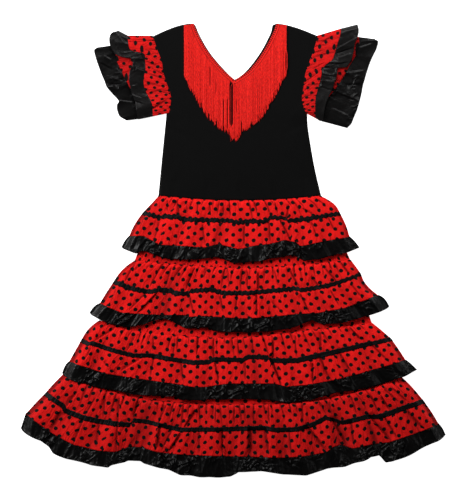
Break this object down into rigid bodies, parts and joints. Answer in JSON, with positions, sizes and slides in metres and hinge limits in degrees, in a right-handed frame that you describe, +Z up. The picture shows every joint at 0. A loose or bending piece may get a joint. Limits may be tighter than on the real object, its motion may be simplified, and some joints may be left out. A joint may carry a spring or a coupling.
{
  "type": "flamenco dress",
  "caption": "Child's flamenco dress laid flat: black stretch bodice with fringed V neck, flutter sleeves and dotted tiered skirt with satin ruffles.",
  "frame": {"origin": "on the surface that the dress lies on, under the middle of its outline", "axes": "+Y up the dress from hem to shoulders, +X to the viewer's right, +Z up from the surface through the front of the dress"},
  "size_m": [0.721, 0.7708, 0.0169],
  "materials": {
    "black_jersey": "matte stretch jersey",
    "red_rayon_fringe": "bright rayon braid and fringe with a soft sheen",
    "red_dotted_cotton": "plain-woven cotton blend with small black dots",
    "black_satin": "glossy satin",
    "black_ribbon": "narrow woven ribbon, slightly glossy"
  },
  "bodies": {
    "root": {"bodice_front": "black_jersey", "bodice_back": "black_jersey", "neck_fringe": "red_rayon_fringe", "skirt_front": "red_dotted_cotton", "skirt_back": "red_dotted_cotton", "flounce_1_front": "red_dotted_cotton", "flounce_1_back": "red_dotted_cotton", "ribbon_1_front": "black_ribbon", "ribbon_1_back": "black_ribbon", "ruffle_1_front": "black_satin", "ruffle_1_back": "black_satin", "flounce_2_front": "red_dotted_cotton", "flounce_2_back": "red_dotted_cotton", "ribbon_2_front": "black_ribbon", "ribbon_2_back": "black_ribbon", "ruffle_2_front": "black_satin", "ruffle_2_back": "black_satin", "flounce_3_front": "red_dotted_cotton", "flounce_3_back": "red_dotted_cotton", "ribbon_3_front": "black_ribbon", "ribbon_3_back": "black_ribbon", "ruffle_3_front": "black_satin", "ruffle_3_back": "black_satin", "flounce_4_front": "red_dotted_cotton", "flounce_4_back": "red_dotted_cotton", "ribbon_4_front": "black_ribbon", "ribbon_4_back": "black_ribbon", "ruffle_4_front": "black_satin", "ruffle_4_back": "black_satin", "sleeve_left_upper_front": "red_dotted_cotton", "sleeve_left_upper_back": "red_dotted_cotton", "sleeve_left_upper_ruffle_front": "black_satin", "sleeve_left_upper_ruffle_back": "black_satin", "sleeve_left_lower_front": "red_dotted_cotton", "sleeve_left_lower_back": "red_dotted_cotton", "sleeve_left_lower_ruffle_front": "black_satin", "sleeve_left_lower_ruffle_back": "black_satin", "sleeve_right_upper_front": "red_dotted_cotton", "sleeve_right_upper_back": "red_dotted_cotton", "sleeve_right_upper_ruffle_front": "black_satin", "sleeve_right_upper_ruffle_back": "black_satin", "sleeve_right_lower_front": "red_dotted_cotton", "sleeve_right_lower_back": "red_dotted_cotton", "sleeve_right_lower_ruffle_front": "black_satin", "sleeve_right_lower_ruffle_back": "black_satin"}
  },
  "joints": []
}
